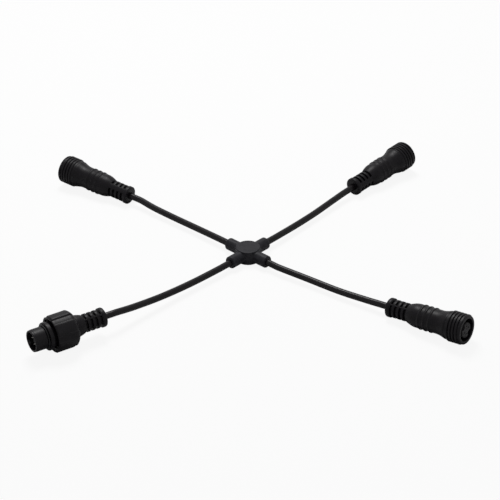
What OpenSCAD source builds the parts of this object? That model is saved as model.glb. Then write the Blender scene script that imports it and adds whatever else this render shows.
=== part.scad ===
// Four-way waterproof splitter lead: an X junction, one plug with a coupling nut
// and three threaded sockets, lying on a table as it is sold.
// Each connector is drawn along its own axis, with 0 at the rear of its boot.

/* [Cable] */
// Outside diameter of each cable
cable_d = 4; // [3:0.1:4.6]
// Depth of the cable inside a boot
cable_grip = 11; // [8:0.5:12]
// Diameter of one insulated conductor
wire_d = 1; // [0.7:0.05:1.1]
// Distance between neighbouring conductors at the cable's end
wire_pitch = 1.2; // [1.2:0.05:1.35]

/* [Junction] */
// Distance from the middle to the end of an arm
arm_reach = 16; // [14:0.2:20]
// Diameter of an arm
arm_d = 7.6; // [6.4:0.1:8.2]
// Rounding at the end of an arm
arm_round = 0.8; // [0.3:0.1:1.2]
// Distance from the middle at which the webs leave an arm
web_reach = 9; // [8:0.2:10.5]
// Diameter of the raised discs, top and bottom
disc_d = 14.9; // [14:0.1:16]
// Height over both discs
disc_h = 8.8; // [8.2:0.1:10]
// Rounding at the edge of a disc
disc_round = 0.5; // [0.2:0.1:0.8]
// Width of the square inner core
core_w = 9.6; // [8.8:0.1:9.8]
// Height of the inner core
core_h = 5; // [4.4:0.1:5.4]
// Diameter of a splice sleeve
splice_d = 1.8; // [1.2:0.1:2.2]
// Length of a splice sleeve
splice_len = 4; // [3:0.1:4.4]
// Distance between neighbouring splice sleeves
splice_pitch = 4; // [3:0.1:5]

/* [Strain relief] */
// Diameter of the collar at the rear of a boot
collar_d = 11.5; // [11:0.1:12.4]
// Length of the collar
collar_len = 2.5; // [2:0.1:3]
// Rounding at the collar's edges
collar_round = 0.8; // [0.3:0.1:0.9]
// Diameter over the ribs
relief_d = 10.8; // [9.6:0.1:11]
// Number of grooves
groove_count = 4; // [3:1:4]
// Distance from the collar to the middle of the first groove
groove_first = 1.1; // [0.9:0.05:1.5]
// Distance from groove to groove
groove_pitch = 3.1; // [2.6:0.05:3.4]
// Width of a groove
groove_w = 1.4; // [0.8:0.1:1.6]
// Diameter at the bottom of a groove
groove_floor_d = 7.4; // [6.8:0.1:8.6]
// Width of the spine that joins the ribs on one side
spine_w = 3.2; // [1.6:0.1:4]
// Width of the thin spine on the other side
back_spine_w = 1; // [0.8:0.1:3]

/* [Socket boot] */
// Length of the swelling in front of the ribs
bulb_len = 6.4; // [5:0.05:8]
// Diameter of the barrel
barrel_d = 14; // [13.4:0.1:14.8]
// Length of the barrel
barrel_len = 13.8; // [13:0.1:16]
// Number of grip rings on the barrel
ring_count = 3; // [2:1:3]
// Distance from ring to ring
ring_pitch = 3.5; // [2.6:0.05:3.8]
// Width of a grip ring
ring_w = 1.8; // [1.2:0.1:2.4]
// Height of a grip ring over the barrel
ring_h = 0.4; // [0.2:0.05:0.6]
// Length of the flare behind the thread
flare_len = 6.3; // [5:0.1:8]
// Diameter at the front of the flare
flare_d = 16.6; // [15.6:0.1:17]
// Length of the lip in front of the flare
lip_len = 0.8; // [0.6:0.1:1.5]

/* [Thread] */
// Diameter over the thread
thread_d = 18; // [17.6:0.1:18.2]
// Distance from turn to turn
thread_pitch = 2; // [1.8:0.05:2.2]
// Depth of the thread
thread_depth = 0.75; // [0.4:0.05:0.8]
// Number of turns on a socket
thread_turns = 4; // [3:1:4]
// Length of the plain part behind the thread
thread_lead = 0.1; // [0.1:0.1:1]
// Play of the nut's thread over a socket's thread
thread_gap = 0.15; // [0.1:0.01:0.2]
// Length of the plain rim in front of the thread
rim_len = 1.1; // [0.8:0.1:1.6]
// Rounding at the edge of the rim
rim_round = 0.4; // [0.2:0.05:0.6]

/* [Socket] */
// Diameter of the opening that takes the plug's nose
socket_d = 13.5; // [13.4:0.1:14]
// How far the boot's core reaches into the shell and closes that opening
socket_floor = 1.4; // [1:0.1:2]
// Diameter of the shell's root, which the boot is moulded round
root_d = 14.8; // [14.4:0.1:15.2]
// Length of that root
root_len = 1.5; // [1:0.1:2]
// Diameter of the insert
insert_d = 8.8; // [8.6:0.1:9.2]
// Length of the insert inside the boot
insert_hold = 6; // [4:0.1:9]
// How far the insert's face sits behind the rim
insert_recess = 0.4; // [0:0.1:1]
// Thickness of the insert's face in front of the contacts
insert_face_t = 1.1; // [0.8:0.1:1.5]
// Diameter of the two side notches in the insert
notch_d = 3.4; // [3:0.1:3.6]
// Distance from the axis to the bottom of a notch
notch_floor = 2.6; // [2.5:0.05:3]

/* [Contacts] */
// Distance between the two pairs of contacts
pair_pitch = 3.9; // [3.6:0.05:4.1]
// Distance between the contacts of a pair
pin_pitch = 2.3; // [2.2:0.05:2.4]
// Diameter of a pin
pin_d = 1; // [0.8:0.05:1.1]
// Outside diameter of a contact tube
tube_d = 1.7; // [1.6:0.05:1.8]
// Depth of the hole in a contact tube
tube_depth = 8; // [6:0.5:10]
// Length of the contacts and pins that reaches back into the boot
tail_len = 2; // [1.5:0.1:3]
// Diameter of the tail of a pin
pin_tail_d = 1.6; // [1.4:0.05:1.7]
// Length of a pin in front of the web
pin_len = 8; // [6:0.1:9]
// Length of the cone at the tip of a pin
pin_tip = 0.5; // [0.3:0.1:0.8]

/* [Plug] */
// Length of the swelling on the plug's boot
plug_bulb_len = 5.8; // [5:0.05:7]
// Diameter at the front of that swelling
plug_bulb_d = 13.2; // [12.8:0.1:13.6]
// Diameter of the shoulder that stops the nut
shoulder_d = 15.2; // [14.8:0.1:15.6]
// Length of the shoulder
shoulder_len = 2; // [1.6:0.1:2.4]
// Diameter of the neck that the nut slides on
neck_d = 13.9; // [13.6:0.1:14.2]
// Length of the neck
neck_len = 13.4; // [12:0.1:17]
// Thickness of the insert that holds the pins
web_t = 5.5; // [4.4:0.1:6]
// How far that insert reaches past the rear of the flange
web_front = 1.3; // [0.8:0.1:2]
// Diameter of the flange
flange_d = 16.5; // [16:0.1:16.6]
// Thickness of the flange
flange_t = 2.5; // [2.2:0.1:3.4]
// Diameter of the nose
nose_d = 13; // [12.8:0.1:13.2]
// Length of the nose in front of the flange
nose_len = 8.7; // [7.6:0.1:9.2]
// Wall of the nose
nose_wall = 1.2; // [1:0.05:1.5]
// Rounding at the edges of the flange, the nose and the nut
edge_round = 0.4; // [0.2:0.05:0.5]
// Diameter of the two keys of the insert inside the nose
key_d = 2.8; // [2.4:0.1:2.9]
// How far the keys end behind the edge of the nose
key_recess = 0.4; // [0.2:0.1:1]
// Diameter of the seat of the sealing ring
seal_seat_d = 12.4; // [12:0.1:12.6]
// Thickness of the sealing ring
seal_d = 1.1; // [0.9:0.05:1.3]
// Length of its seat beyond its own thickness
seal_room = 0.2; // [0.1:0.05:0.4]

/* [Coupling nut] */
// Length of the nut
nut_len = 14.2; // [13:0.1:17]
// Diameter between the ribs
nut_d = 20.4; // [19.8:0.1:21]
// Diameter of its rear face
nut_rear_d = 16.4; // [16.2:0.1:18]
// Height of a rib
nut_rib_h = 0.7; // [0.3:0.05:0.9]
// Number of ribs
nut_rib_count = 6; // [4:1:8]
// Width of a rib as an angle
nut_rib_angle = 38; // [12:1:40]
// Turn of the ribs about the plug
nut_rib_turn = 48; // [0:1:90]
// Length of the rounded rear edge
nut_round = 3; // [2:0.1:4]
// Thickness of the rear lip
nut_lip_t = 1.6; // [1.2:0.1:2]
// Depth of the recess behind the lip
nut_recess = 2.1; // [1.8:0.1:2.4]
// Length of the plain part in front of the washer
nut_relief = 0.9; // [0.6:0.1:1.4]
// Length of the lead-in at the front of the nut's thread
nut_lead_in = 0.6; // [0.4:0.1:0.8]
// Width of the slip washer from its hole to its edge
washer_w = 1.05; // [0.7:0.05:1.2]
// Thickness of the slip washer
washer_t = 0.8; // [0.6:0.1:1]

/* [Fits] */
// Gap round pieces that are moulded or pressed together
fit_gap = 0.05; // [0.02:0.01:0.08]
// Running gap of the nut and the washer on the neck
run_gap = 0.1; // [0.05:0.01:0.14]
// Free space of the nut past the shoulder, the flange and the threads
nut_gap = 0.3; // [0.2:0.05:0.35]
// Space left at each end of the nut's slide
stop_gap = 0.2; // [0.1:0.05:0.3]
// Gap round a cable in its bore
cable_gap = 0.1; // [0.05:0.01:0.15]
// Room round the conductors and the tails of the contacts in a boot
hollow_gap = 0.3; // [0.2:0.05:0.4]

/* [Layout] */
// Turn of the junction's arms from the diagonals
junction_turn = 2; // [-10:0.5:10]
// Left socket: place of its rear end across
left_x = -74.7; // [-80:0.1:-70]
// Left socket: place of its rear end in depth
left_y = 67.3; // [62:0.1:74]
// Left socket: direction that it points
left_turn = 146.3; // [135:0.1:155]
// Left socket: turn about its own axis
left_roll = 140; // [0:1:360]
// Right socket: place of its rear end across
right_x = 67.2; // [62:0.1:72]
// Right socket: place of its rear end in depth
right_y = 78; // [72:0.1:84]
// Right socket: direction that it points
right_turn = 45.4; // [36:0.1:55]
// Right socket: turn about its own axis
right_roll = 251; // [0:1:360]
// Front socket: place of its rear end across
front_x = 81.7; // [76:0.1:87]
// Front socket: place of its rear end in depth
front_y = -62.1; // [-68:0.1:-56]
// Front socket: direction that it points
front_turn = -36.2; // [-46:0.1:-26]
// Front socket: turn about its own axis
front_roll = 38; // [0:1:360]
// Plug: place of its rear end across
plug_x = -82.2; // [-88:0.1:-77]
// Plug: place of its rear end in depth
plug_y = -80; // [-85:0.1:-70]
// Plug: direction that it points
plug_turn = -147.1; // [-158:0.1:-128]
// Plug: turn about its own axis
plug_roll = 323; // [0:1:360]
// Upward tilt of the plug
plug_tilt = 0; // [0:0.5:9]
// Turn of a socket's contacts from the spine of its boot
contact_turn = 99; // [0:1:180]
// Turn of the plug's pins from the spine of its boot
pin_turn = 73; // [0:1:180]

/* [Hidden] */
$fn = 64;

black = [0.13, 0.13, 0.14];
cable_black = [0.1, 0.1, 0.11];
seal_grey = [0.2, 0.2, 0.21];
brass = [0.8, 0.64, 0.3];
wire_red = [0.6, 0.12, 0.1];
core_grey = [0.35, 0.35, 0.36];

// A cut reaches this far past the face that it opens.
over = 1;

// Places along a socket, from the rear of its boot.
relief_end = collar_len + groove_first + (groove_count - 1) * groove_pitch + groove_w / 2;
bulb_end = relief_end + bulb_len;
barrel_end = bulb_end + barrel_len;
flare_end = barrel_end + flare_len;
boot_end = flare_end + lip_len;
thread_start = boot_end + thread_lead;
crest_start = thread_start + 0.15 * thread_pitch;
thread_end = thread_start + (thread_turns + 0.75) * thread_pitch;
socket_end = thread_end + rim_len;
insert_end = socket_end - insert_recess;
root_start = boot_end - root_len;
socket_bottom = boot_end + socket_floor;
insert_start = socket_bottom - insert_hold;
contact_start = insert_start - tail_len;
contact_end = insert_end - insert_face_t;
thread_root_d = thread_d - 2 * thread_depth;

// Places along the plug, from the rear of its boot.
plug_bulb_end = relief_end + plug_bulb_len;
shoulder_end = plug_bulb_end + shoulder_len;
flange_start = shoulder_end + neck_len;
flange_end = flange_start + flange_t;
nose_end = flange_end + nose_len;
web_end = flange_start + web_front;
web_start = web_end - web_t;
pin_start = web_start - tail_len;
nose_bore_d = nose_d - 2 * nose_wall;
seat_end = flange_end + seal_d + seal_room;

// Places along the nut at rest: its lip waits just in front of the shoulder.
lip_start = shoulder_end + stop_gap;
lip_end = lip_start + nut_lip_t;
nut_start = lip_start - nut_recess;
nut_end = nut_start + nut_len;
washer_start = lip_end + run_gap;
washer_end = washer_start + washer_t;
washer_d = neck_d + 2 * run_gap + 2 * washer_w;
nut_travel = flange_start - washer_end - stop_gap;
nut_minor_d = flange_d + 2 * nut_gap;
nut_major_d = thread_d + 2 * thread_gap;
nut_thread_start = washer_end + nut_relief;
nut_turns = floor((nut_end - nut_lead_in - nut_thread_start) / thread_pitch);

// A socket lies on its collar and on the first turn of its thread.
socket_tilt = atan((thread_d - collar_d) / 2 / (crest_start - collar_round));
socket_z = collar_d / 2 * cos(socket_tilt) - collar_round * sin(socket_tilt);
// The plug lies on the rear of its nut, on the lowest edge of a rib or between the ribs.
nut_rib_d = nut_d + 2 * nut_rib_h;
nut_rib_turns = [for (i = [0:nut_rib_count - 1]) nut_rib_turn + 360 / nut_rib_count * i];
nut_low = max(nut_d / 2, max([for (turn = nut_rib_turns) nut_rib_d / 2 * cos(max(0,
    abs((turn + plug_roll + 180) % 360 - 180) - nut_rib_angle / 2))]));
plug_z = nut_low * cos(plug_tilt) - (nut_start + nut_round) * sin(plug_tilt);
junction_z = disc_h / 2;

// Rear end of each connector, the way that it points and its turn about its own axis.
left_seat = [[left_x, left_y, socket_z], left_turn, socket_tilt, left_roll];
right_seat = [[right_x, right_y, socket_z], right_turn, socket_tilt, right_roll];
front_seat = [[front_x, front_y, socket_z], front_turn, socket_tilt, front_roll];
plug_seat = [[plug_x, plug_y, plug_z], plug_turn, plug_tilt, plug_roll];

// Points that the cables pass on the table between the junction and a connector.
left_route = [[-32, 30, 4], [-46, 42.5, 4], [-59, 54, 4.4]];
right_route = [[30, 33.5, 4], [42, 48, 4], [54, 63, 4.6]];
front_route = [[35, -28.7, 4], [53, -42.2, 4], [68, -52.5, 4.6]];
plug_route = [[-33, -34, 4.5], [-50, -51, 6], [-65.5, -66, 8.5]];
// Straight run of a cable where it leaves a junction arm or a boot.
cable_lead = 8;
cable_sides = 12;
// Steps between two points of a route.
cable_steps = 3;

contact_spots = [for (u = [-1, 1], v = [-1, 1]) [u * pair_pitch / 2, v * pin_pitch / 2]];
wire_spots = [for (u = [-1, 1], v = [-1, 1]) [u * wire_pitch / 2, v * wire_pitch / 2]];

function axis_of(seat) = [cos(seat[2]) * cos(seat[1]), cos(seat[2]) * sin(seat[1]), sin(seat[2])];
function arm_axis(turn) = [cos(turn), sin(turn), 0];
function unit(v) = v / norm(v);

// Points of an arc in a profile, from angle a to angle b.
function arc(centre, r, a, b, n = 5) =
    [for (i = [0:n]) centre + r * [cos(a + (b - a) * i / n), sin(a + (b - a) * i / n)]];
// A swelling that rises fast and then levels out, from one radius and place to another.
function swell(r0, z0, r1, z1, n = 8) =
    [for (i = [0:n]) [r0 + (r1 - r0) * sin(90 * i / n), z0 + (z1 - z0) * i / n]];
// A quarter of an oval, from one radius and place to another.
function crown(r0, z0, r1, z1, n = 5) =
    [for (i = [0:n]) [r0 + (r1 - r0) * sin(90 * i / n), z1 - (z1 - z0) * cos(90 * i / n)]];
// A flare that starts level and then opens.
function flare(r0, z0, r1, z1, n = 8) =
    [for (i = [0:n]) [r0 + (r1 - r0) * (1 - cos(90 * i / n)), z0 + (z1 - z0) * i / n]];

// A point on a smooth curve through b and c, with a and d as their neighbours.
function through(a, b, c, d, t) =
    0.5 * (2 * b + (c - a) * t + (2 * a - 5 * b + 4 * c - d) * t * t
    + (3 * b - a - 3 * c + d) * t * t * t);

// The middle line of a cable: junction core, arm, route, boot.
function cable_line(turn, route, seat) =
    let (arm = arm_axis(turn), axis = axis_of(seat), hub = [0, 0, junction_z],
        stops = concat([hub + arm * arm_reach, hub + arm * (arm_reach + cable_lead)], route,
            [seat[0] - axis * cable_lead, seat[0]]),
        last = len(stops) - 2)
    concat([hub + arm * core_w / 2, stops[0]],
        [for (i = [1:last - 1], k = [0:cable_steps - 1])
            through(stops[i - 1], stops[i], stops[i + 1], stops[i + 2], k / cable_steps)],
        [stops[last], seat[0], seat[0] + axis * cable_grip]);

function line_way(line, i) =
    unit(line[min(i + 1, len(line) - 1)] - line[max(i - 1, 0)]);
function ring_at(p, way, r, sides) =
    let (side = unit(cross([0, 0, 1], way)), up = cross(way, side))
    [for (k = [0:sides - 1]) p + r * (cos(360 * k / sides) * side + sin(360 * k / sides) * up)];

// A round tube along a line, closed at both ends.
module tube_along(line, d, sides) {
    n = len(line);
    points = [for (i = [0:n - 1]) each ring_at(line[i], line_way(line, i), d / 2, sides)];
    skin = [for (i = [0:n - 2], k = [0:sides - 1]) each
        let (a = i * sides + k, b = i * sides + (k + 1) % sides)
        [[a, b + sides, b], [a, a + sides, b + sides]]];
    ends = [for (k = [1:sides - 2]) each
        [[0, k, k + 1], [(n - 1) * sides, (n - 1) * sides + k + 1, (n - 1) * sides + k]]];
    polyhedron(points, concat(skin, ends));
}

// Puts a connector that is drawn along +Z in its place on the table.
module place(seat) {
    translate(seat[0]) rotate([0, 90 - seat[2], seat[1]]) rotate(seat[3]) children();
}

// A straight rod between two points.
module rod(a, b, d) {
    way = b - a;
    translate(a) rotate([0, acos(way[2] / norm(way)), atan2(way[1], way[0])])
        cylinder(h = norm(way), d = d, $fn = 24);
}

// The four conductors between the cable's end and the tails of the contacts.
module conductors(stop) {
    for (i = [0:3]) {
        a = [wire_spots[i][0], wire_spots[i][1], cable_grip];
        b = [contact_spots[i][0], contact_spots[i][1], stop];
        rod(a + unit(b - a) * 2 * fit_gap, b - unit(b - a) * 2 * fit_gap, wire_d);
    }
}

// The same rod at each of the four contact places.
module at_contacts() {
    for (spot = contact_spots) translate([spot[0], spot[1], 0]) children();
}

// One groove of the strain relief, with a spine left standing on each side.
module relief_groove() {
    difference() {
        cylinder(h = groove_w, d = collar_d + 2 * over);
        translate([0, 0, -over]) cylinder(h = groove_w + 2 * over, d = groove_floor_d);
        translate([0, -spine_w / 2, -over]) cube([collar_d, spine_w, groove_w + 2 * over]);
        translate([-collar_d, -back_spine_w / 2, -over])
            cube([collar_d, back_spine_w, groove_w + 2 * over]);
    }
}

module relief_grooves() {
    for (i = [0:groove_count - 1])
        translate([0, 0, collar_len + groove_first + groove_pitch * i - groove_w / 2])
            relief_groove();
}

// Outline of the collar and the ribs that every boot starts with.
function relief_outline() = concat([[0, 0]],
    arc([collar_d / 2 - collar_round, collar_round], collar_round, -90, 0),
    arc([collar_d / 2 - collar_round / 2, collar_len - collar_round / 2], collar_round / 2, 0, 90),
    [[relief_d / 2, collar_len]]);

// Hollow of a boot: the bore of the cable, a cone in which the conductors spread, and
// the room round the tails of the contacts.
module boot_hollow(tail_start, tail_end, tail_d) {
    wire_r = norm(wire_spots[0]) + wire_d / 2 + hollow_gap;
    tail_r = norm(contact_spots[0]) + tail_d / 2 + hollow_gap;
    translate([0, 0, -over]) cylinder(h = cable_grip + over, d = cable_d + 2 * cable_gap);
    translate([0, 0, cable_grip]) cylinder(h = tail_start - cable_grip, r1 = wire_r, r2 = tail_r);
    translate([0, 0, tail_start]) cylinder(h = tail_end - tail_start + over, r = tail_r);
}

// One turn of a thread between two radii: a slope, a land and a slope.
function thread_tooth(r0, r1, z) = [[r0, z], [r1, z + 0.15 * thread_pitch],
    [r1, z + 0.6 * thread_pitch], [r0, z + 0.75 * thread_pitch]];

// Grip rings on the barrel: each rises slowly and drops fast.
function grip_rings() = [for (i = [0:ring_count - 1]) each
    let (z = bulb_end + ring_pitch * (i + 0.9))
    [[barrel_d / 2, z - 0.6 * ring_w], [barrel_d / 2 + ring_h * 0.85, z - 0.1 * ring_w],
    [barrel_d / 2 + ring_h, z + 0.1 * ring_w], [barrel_d / 2 + ring_h * 0.6, z + 0.3 * ring_w],
    [barrel_d / 2, z + 0.4 * ring_w]]];

module socket_boot(seat) {
    place(seat) difference() {
        rotate_extrude() polygon(concat(relief_outline(),
            swell(relief_d / 2, relief_end, barrel_d / 2, bulb_end),
            grip_rings(),
            flare(barrel_d / 2, barrel_end, flare_d / 2, flare_end),
            [[flare_d / 2, boot_end], [root_d / 2 + fit_gap, boot_end],
            [root_d / 2 + fit_gap, root_start - fit_gap],
            [socket_d / 2 - fit_gap, root_start - fit_gap],
            [socket_d / 2 - fit_gap, socket_bottom], [0, socket_bottom]]));
        relief_grooves();
        boot_hollow(contact_start, insert_start, tube_d);
        translate([0, 0, insert_start])
            cylinder(h = insert_hold + over, d = insert_d + 2 * fit_gap);
    }
}

// Threaded front of a socket: a straight tube whose root sits in the boot.
module socket_shell(seat) {
    place(seat) rotate_extrude() polygon(concat(
        [[socket_d / 2, root_start], [root_d / 2, root_start], [root_d / 2, boot_end],
        [thread_root_d / 2, boot_end]],
        [for (i = [0:thread_turns]) each
            thread_tooth(thread_root_d / 2, thread_d / 2, thread_start + i * thread_pitch)],
        [[thread_root_d / 2, socket_end - rim_round],
        [thread_root_d / 2 - rim_round, socket_end], [socket_d / 2, socket_end]]));
}

// Insert with four contact holes and two side notches for the plug's keys.
module socket_insert(seat) {
    place(seat) rotate(contact_turn) difference() {
        translate([0, 0, insert_start]) cylinder(h = insert_end - insert_start, d = insert_d);
        for (side = [-1, 1])
            translate([0, side * (notch_floor + notch_d / 2), socket_bottom])
                cylinder(h = insert_end - socket_bottom + over, d = notch_d);
        at_contacts() {
            translate([0, 0, insert_start - over])
                cylinder(h = contact_end - insert_start + over, d = tube_d + 2 * fit_gap, $fn = 32);
            translate([0, 0, contact_end - over])
                cylinder(h = insert_end - contact_end + 2 * over, d = pin_d + 2 * fit_gap, $fn = 32);
        }
    }
}

module socket_contacts(seat) {
    place(seat) rotate(contact_turn) at_contacts() difference() {
        translate([0, 0, contact_start])
            cylinder(h = contact_end - fit_gap - contact_start, d = tube_d, $fn = 32);
        translate([0, 0, contact_end - tube_depth])
            cylinder(h = tube_depth + over, d = pin_d + 2 * fit_gap, $fn = 32);
    }
}

module socket_wires(seat) {
    place(seat) rotate(contact_turn)
        conductors(contact_start);
}

module junction_arm(turn) {
    translate([0, 0, junction_z]) rotate([0, 90, turn]) rotate_extrude()
        polygon(concat([[0, 0], [arm_d / 2, 0]],
            arc([arm_d / 2 - arm_round, arm_reach - arm_round], arm_round, 0, 90),
            [[0, arm_reach]]));
}

// Quarter ring that sweeps from one arm into the next.
module junction_web(turn) {
    translate([0, 0, junction_z]) rotate(turn) translate([web_reach, web_reach, 0]) rotate(180)
        rotate_extrude(angle = 90) translate([web_reach, 0]) circle(d = arm_d);
}

module junction_disc() {
    rotate_extrude() polygon(concat([[0, 0]],
        arc([disc_d / 2 - disc_round, disc_round], disc_round, -90, 0),
        arc([disc_d / 2 - disc_round, disc_h - disc_round], disc_round, 0, 90),
        [[0, disc_h]]));
}

module core_block(gap) {
    translate([0, 0, junction_z]) rotate(45 + junction_turn)
        cube([core_w + 2 * gap, core_w + 2 * gap, core_h + 2 * gap], center = true);
}

module splices(gap) {
    for (u = [-1, 1], v = [-1, 1]) rotate(junction_turn)
        translate([u * splice_pitch / 2, v * splice_pitch / 2, junction_z - splice_len / 2 - gap])
            cylinder(h = splice_len + 2 * gap, d = splice_d + 2 * gap, $fn = 32);
}

module junction_body() {
    color(black) difference() {
        union() {
            junction_disc();
            for (i = [0:3]) {
                junction_arm(45 + 90 * i + junction_turn);
                junction_web(45 + 90 * i + junction_turn);
            }
        }
        core_block(fit_gap);
        for (i = [0:3])
            translate([0, 0, junction_z]) rotate([0, 90, 45 + 90 * i + junction_turn])
                cylinder(h = arm_reach + over, d = cable_d + 2 * cable_gap);
    }
}

module junction_core() {
    color(core_grey) difference() {
        core_block(0);
        splices(fit_gap);
    }
}

module splice_sleeves() { color(brass) splices(0); }

module left_cable() {
    color(cable_black)
        tube_along(cable_line(135 + junction_turn, left_route, left_seat), cable_d, cable_sides);
}

module right_cable() {
    color(cable_black)
        tube_along(cable_line(45 + junction_turn, right_route, right_seat), cable_d, cable_sides);
}

module front_cable() {
    color(cable_black)
        tube_along(cable_line(-45 + junction_turn, front_route, front_seat), cable_d, cable_sides);
}

module plug_cable() {
    color(cable_black)
        tube_along(cable_line(-135 + junction_turn, plug_route, plug_seat), cable_d, cable_sides);
}

module left_boot() { color(black) socket_boot(left_seat); }
module left_threaded_shell() { color(black) socket_shell(left_seat); }
module left_insert() { color(seal_grey) socket_insert(left_seat); }
module left_contacts() { color(brass) socket_contacts(left_seat); }
module left_wires() { color(wire_red) socket_wires(left_seat); }

module right_boot() { color(black) socket_boot(right_seat); }
module right_threaded_shell() { color(black) socket_shell(right_seat); }
module right_insert() { color(seal_grey) socket_insert(right_seat); }
module right_contacts() { color(brass) socket_contacts(right_seat); }
module right_wires() { color(wire_red) socket_wires(right_seat); }

module front_boot() { color(black) socket_boot(front_seat); }
module front_threaded_shell() { color(black) socket_shell(front_seat); }
module front_insert() { color(seal_grey) socket_insert(front_seat); }
module front_contacts() { color(brass) socket_contacts(front_seat); }
module front_wires() { color(wire_red) socket_wires(front_seat); }

// Boot of the plug: strain relief, swelling, the shoulder that stops the nut and
// the core that fills the neck.
module plug_boot() {
    color(black) place(plug_seat) difference() {
        rotate_extrude() polygon(concat(relief_outline(),
            swell(relief_d / 2, relief_end, plug_bulb_d / 2, plug_bulb_end),
            [[shoulder_d / 2, plug_bulb_end + (shoulder_d - plug_bulb_d) / 2],
            [shoulder_d / 2, shoulder_end], [nose_bore_d / 2 - fit_gap, shoulder_end],
            [nose_bore_d / 2 - fit_gap, web_start], [0, web_start]]));
        relief_grooves();
        boot_hollow(pin_start, web_start, pin_tail_d);
    }
}

// Neck, flange and hollow nose of the plug.
module plug_shell() {
    color(black) place(plug_seat) rotate_extrude() polygon(concat(
        [[nose_bore_d / 2, shoulder_end], [neck_d / 2, shoulder_end], [neck_d / 2, flange_start]],
        arc([flange_d / 2 - edge_round, flange_start + edge_round], edge_round, -90, 0, 3),
        arc([flange_d / 2 - edge_round, flange_end - edge_round], edge_round, 0, 90, 3),
        [[seal_seat_d / 2, flange_end], [seal_seat_d / 2, seat_end], [nose_d / 2, seat_end]],
        arc([nose_d / 2 - edge_round, nose_end - edge_round], edge_round, 0, 90, 3),
        [[nose_bore_d / 2, nose_end]]));
}

// Insert of the plug: a disc that holds the pins and two keys along the nose.
module plug_insert() {
    color(seal_grey) place(plug_seat) rotate(pin_turn) difference() {
        intersection() {
            translate([0, 0, web_start])
                cylinder(h = nose_end - web_start, d = nose_bore_d - 2 * fit_gap);
            union() {
                translate([0, 0, web_start]) cylinder(h = web_t, d = nose_bore_d);
                for (side = [-1, 1])
                    translate([0, side * (notch_floor + notch_d / 2), web_start])
                        cylinder(h = nose_end - key_recess - web_start, d = key_d, $fn = 32);
            }
        }
        at_contacts() {
            translate([0, 0, web_start - over])
                cylinder(h = tail_len + over, d = pin_tail_d + 2 * fit_gap, $fn = 32);
            translate([0, 0, web_start])
                cylinder(h = web_t + over, d = pin_d + 2 * fit_gap, $fn = 32);
        }
    }
}

module plug_pins() {
    color(brass) place(plug_seat) rotate(pin_turn) at_contacts() {
        translate([0, 0, pin_start]) cylinder(h = 2 * tail_len - fit_gap, d = pin_tail_d, $fn = 32);
        translate([0, 0, pin_start + tail_len])
            cylinder(h = web_end + pin_len - pin_start - tail_len, d = pin_d, $fn = 32);
        translate([0, 0, web_end + pin_len]) cylinder(h = pin_tip, d1 = pin_d, d2 = pin_d / 2, $fn = 32);
    }
}

module plug_wires() {
    color(wire_red) place(plug_seat) rotate(pin_turn)
        conductors(pin_start);
}

module sealing_ring() {
    color(seal_grey) place(plug_seat) translate([0, 0, flange_end + seal_d / 2 + fit_gap])
        rotate_extrude() translate([seal_seat_d / 2 + seal_d / 2 + fit_gap, 0]) circle(d = seal_d);
}

module slip_washer() {
    color(seal_grey) place(plug_seat) translate([0, 0, washer_start]) difference() {
        cylinder(h = washer_t, d = washer_d);
        translate([0, 0, -over]) cylinder(h = washer_t + 2 * over, d = neck_d + 2 * run_gap);
    }
}

// Outside of the nut, with its rounded rear edge.
function nut_outline() = concat([[neck_d / 2, nut_start]],
    crown(nut_rear_d / 2, nut_start, nut_d / 2, nut_start + nut_round),
    arc([nut_d / 2 - edge_round, nut_end - edge_round], edge_round, 0, 90, 3),
    [[neck_d / 2, nut_end]]);

// Outside of a rib, whose root lies inside the wall of the nut.
function rib_outline() = [[nut_rear_d / 2, nut_start + nut_round / 4],
    [nut_d / 2, nut_start + nut_round / 2], [nut_rib_d / 2, nut_start + nut_round],
    [nut_rib_d / 2, nut_end - 3 * edge_round],
    [nut_rear_d / 2, nut_end - edge_round]];

// Hollow of the nut: recess, lip, seat of the washer, thread and lead-in.
function nut_hollow() = concat(
    [[0, nut_start - over], [shoulder_d / 2 + nut_gap, nut_start - over],
    [shoulder_d / 2 + nut_gap, lip_start], [neck_d / 2 + run_gap, lip_start],
    [neck_d / 2 + run_gap, lip_end], [washer_d / 2 + run_gap, lip_end],
    [washer_d / 2 + run_gap, washer_end + run_gap], [nut_minor_d / 2, nut_thread_start]],
    [for (i = [0:nut_turns - 1]) each
        thread_tooth(nut_minor_d / 2, nut_major_d / 2, nut_thread_start + i * thread_pitch)],
    [[nut_minor_d / 2, nut_end - nut_lead_in], [nut_major_d / 2, nut_end],
    [nut_major_d / 2, nut_end + over], [0, nut_end + over]]);

module coupling_nut() {
    color(black) place(plug_seat) difference() {
        union() {
            rotate_extrude() polygon(nut_outline());
            for (turn = nut_rib_turns) rotate(turn - nut_rib_angle / 2)
                rotate_extrude(angle = nut_rib_angle) polygon(rib_outline());
        }
        rotate_extrude() polygon(nut_hollow());
    }
}

junction_body();
junction_core();
splice_sleeves();
plug_cable();
left_cable();
right_cable();
front_cable();
left_boot();
left_threaded_shell();
left_insert();
left_contacts();
left_wires();
right_boot();
right_threaded_shell();
right_insert();
right_contacts();
right_wires();
front_boot();
front_threaded_shell();
front_insert();
front_contacts();
front_wires();
plug_boot();
plug_shell();
plug_insert();
plug_pins();
plug_wires();
sealing_ring();
slip_washer();
coupling_nut();
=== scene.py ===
import math
import bpy
from mathutils import Matrix, Vector


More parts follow.
